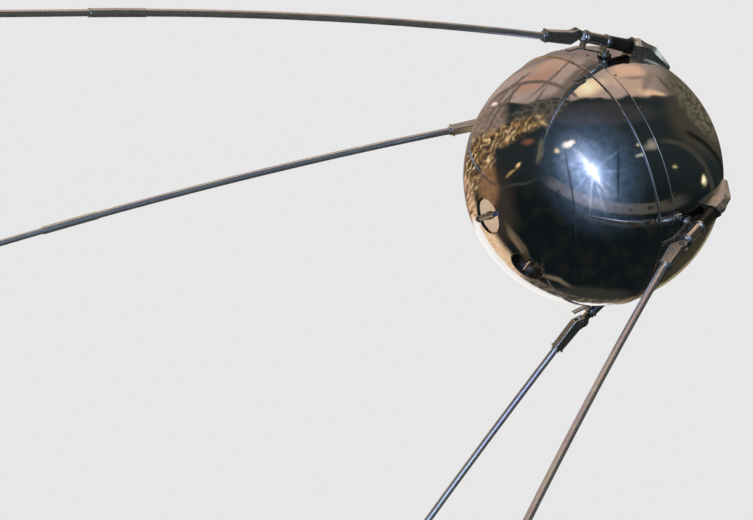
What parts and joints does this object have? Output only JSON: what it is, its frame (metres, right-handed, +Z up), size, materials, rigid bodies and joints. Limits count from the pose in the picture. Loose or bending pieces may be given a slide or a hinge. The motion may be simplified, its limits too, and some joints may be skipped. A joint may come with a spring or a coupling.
{
  "type": "satellite",
  "caption": "Polished metal sphere satellite with a belted joint, a front shield, rear ports and long whip antennas swept back from folding mounts.",
  "frame": {"origin": "centre of the sphere, where the satellite floats free or hangs", "axes": "+X to the nose along the sphere's long axis, +Y to the left, +Z up through the middle between the upper antennas"},
  "size_m": [2.6797, 2.875, 2.4539],
  "materials": {
    "polished_shell": "mirror polished, faint scratches",
    "belt_metal": "polished, rounded edges",
    "fitting_metal": "satin milled",
    "barrel_metal": "polished",
    "whip_metal": "drawn tube, polished",
    "fastener_steel": "dulled",
    "insulator_black": "black, slight sheen",
    "pad_black": "black",
    "power_block": "plain grey"
  },
  "bodies": {
    "hull": {"rear_shell": "polished_shell", "joint_belt": "belt_metal", "front_shell": "polished_shell", "heat_shield": "polished_shell", "shield_screws": "fastener_steel", "battery_block": "power_block", "aft_port_disc": "polished_shell", "aft_port_bar": "barrel_metal", "lower_port_cup": "polished_shell", "lower_port_bar": "barrel_metal", "upper_left_fairing": "fitting_metal", "upper_left_insulator": "insulator_black", "upper_left_barrel": "barrel_metal", "upper_left_bracket": "fitting_metal", "upper_left_foot_pad": "pad_black", "upper_left_hinge_pin": "fastener_steel", "upper_right_fairing": "fitting_metal", "upper_right_insulator": "insulator_black", "upper_right_barrel": "barrel_metal", "upper_right_bracket": "fitting_metal", "upper_right_foot_pad": "pad_black", "upper_right_hinge_pin": "fastener_steel", "lower_right_fairing": "fitting_metal", "lower_right_insulator": "insulator_black", "lower_right_barrel": "barrel_metal", "lower_right_bracket": "fitting_metal", "lower_right_foot_pad": "pad_black", "lower_right_hinge_pin": "fastener_steel", "lower_left_fairing": "fitting_metal", "lower_left_insulator": "insulator_black", "lower_left_barrel": "barrel_metal", "lower_left_bracket": "fitting_metal", "lower_left_foot_pad": "pad_black", "lower_left_hinge_pin": "fastener_steel"},
    "upper_left_antenna": {"upper_left_yoke": "fitting_metal", "upper_left_whip_inner": "whip_metal", "upper_left_whip_sleeve": "whip_metal", "upper_left_whip_outer": "whip_metal"},
    "upper_right_antenna": {"upper_right_yoke": "fitting_metal", "upper_right_whip_inner": "whip_metal", "upper_right_whip_sleeve": "whip_metal", "upper_right_whip_outer": "whip_metal"},
    "lower_right_antenna": {"lower_right_yoke": "fitting_metal", "lower_right_whip_inner": "whip_metal", "lower_right_whip_sleeve": "whip_metal", "lower_right_whip_outer": "whip_metal"},
    "lower_left_antenna": {"lower_left_yoke": "fitting_metal", "lower_left_whip_inner": "whip_metal", "lower_left_whip_sleeve": "whip_metal", "lower_left_whip_outer": "whip_metal"}
  },
  "joints": [
    {"name": "upper_left_hinge", "type": "hinge", "parent": "hull", "child": "upper_left_antenna", "pos_m": [-0.03834, 0.26142, 0.26142], "axis": [0, 0.7071, -0.7071], "range_deg": [-3.5, 29.5]},
    {"name": "upper_right_hinge", "type": "hinge", "parent": "hull", "child": "upper_right_antenna", "pos_m": [-0.03834, -0.26142, 0.26142], "axis": [0, 0.7071, 0.7071], "range_deg": [-11, 22]},
    {"name": "lower_right_hinge", "type": "hinge", "parent": "hull", "child": "lower_right_antenna", "pos_m": [-0.03834, -0.26142, -0.26142], "axis": [0, -0.7071, 0.7071], "range_deg": [-23.4, 9.6]},
    {"name": "lower_left_hinge", "type": "hinge", "parent": "hull", "child": "lower_left_antenna", "pos_m": [-0.03834, 0.26142, -0.26142], "axis": [0, -0.7071, -0.7071], "range_deg": [-27.6, 5.4]}
  ]
}
